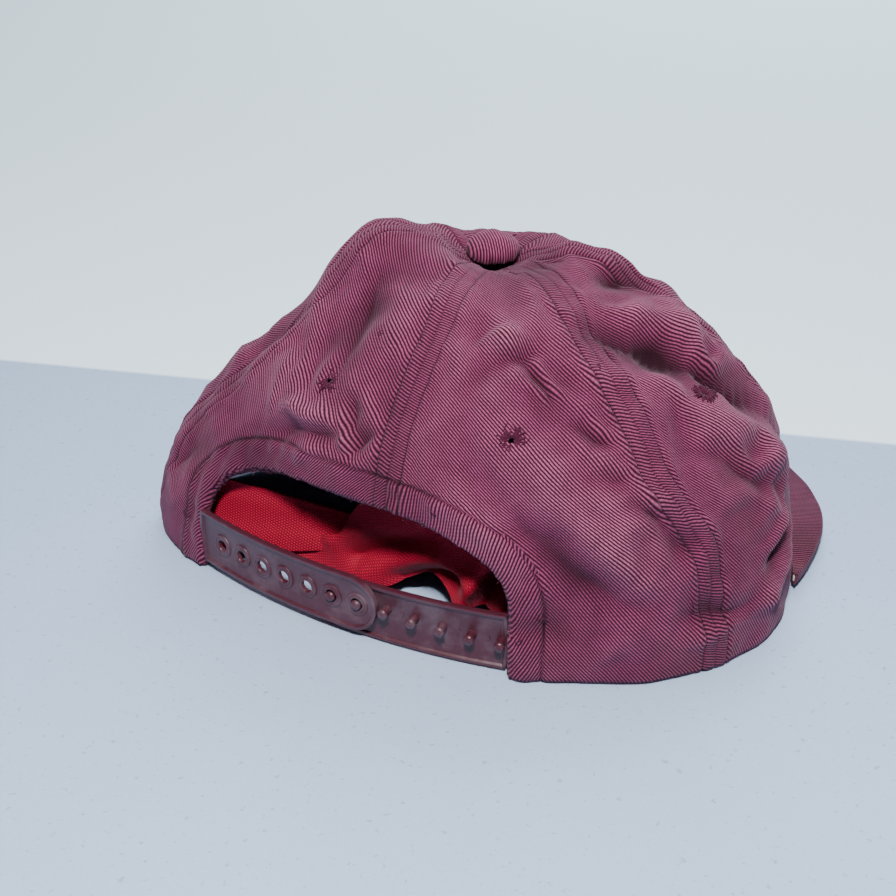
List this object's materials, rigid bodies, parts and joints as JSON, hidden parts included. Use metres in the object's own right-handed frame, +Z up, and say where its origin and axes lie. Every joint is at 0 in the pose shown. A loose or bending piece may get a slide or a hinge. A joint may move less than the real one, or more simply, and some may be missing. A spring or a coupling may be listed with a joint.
{
  "type": "baseball cap",
  "caption": "Soft unstructured cap of sewn cloth panels, slumped, with a flat visor, a cloth-covered top button, stitched eyelets, a back opening and a moulded peg-and-hole strap.",
  "frame": {"origin": "bottom centre of the whole cap's box, on the surface that the cap stands on", "axes": "+Z up, -Y out through the visor, +Y out through the strap opening at the back, +X the wearer's left"},
  "size_m": [0.222, 0.1898, 0.1092],
  "materials": {
    "maroon_twill": "washed cotton twill with a fine diagonal rib, faded and brownish on the raised folds",
    "maroon_thread": "dark sewing thread",
    "dark_tape": "dark woven tape",
    "dark_lining": "dark stiff lining cloth",
    "red_band": "coarse woven red sweatband",
    "maroon_plastic": "moulded plastic with a greyish bloom",
    "visor_board": "stiff pale board inside the visor",
    "rivet_steel": "plain stamped rivet"
  },
  "bodies": {
    "root": {"panel_back_right": "maroon_twill", "panel_side_right": "maroon_twill", "panel_front_right": "maroon_twill", "panel_front_left": "maroon_twill", "panel_side_left": "maroon_twill", "panel_back_left": "maroon_twill", "eyelet_back_right": "maroon_thread", "eyelet_side_right": "maroon_thread", "eyelet_front_right": "maroon_thread", "eyelet_front_left": "maroon_thread", "eyelet_side_left": "maroon_thread", "eyelet_back_left": "maroon_thread", "seam_tape_back": "dark_tape", "seam_tape_back_right": "dark_tape", "seam_tape_front_right": "dark_tape", "seam_tape_front": "dark_tape", "seam_tape_front_left": "dark_tape", "seam_tape_back_left": "dark_tape", "lining_front_right": "dark_lining", "lining_front_left": "dark_lining", "arch_facing": "maroon_twill", "sweatband": "red_band", "top_button": "maroon_twill", "button_rivet": "rivet_steel"},
    "visor": {"visor_board": "visor_board", "visor_top_cover": "maroon_twill", "visor_bottom_cover": "maroon_twill"},
    "left_strap": {"strap_holes": "maroon_plastic"},
    "right_strap": {"strap_pegs": "maroon_plastic"}
  },
  "joints": [
    {"name": "visor_flex", "type": "hinge", "parent": "root", "child": "visor", "pos_m": [-0.01261, 0.00286, 0.0085], "axis": [-1, 0, 0], "range_deg": [-5, 10], "stiffness_Nm_per_rad": 1.2},
    {"name": "left_strap_swing", "type": "hinge", "parent": "root", "child": "left_strap", "pos_m": [0.07708, 0.07905, 0.013], "axis": [0, 0, -1], "range_deg": [0, 75], "stiffness_Nm_per_rad": 0.02},
    {"name": "right_strap_swing", "type": "hinge", "parent": "root", "child": "right_strap", "pos_m": [-0.03653, 0.09042, 0.0104], "axis": [0, 0, -1], "range_deg": [0, 12], "stiffness_Nm_per_rad": 0.02}
  ]
}
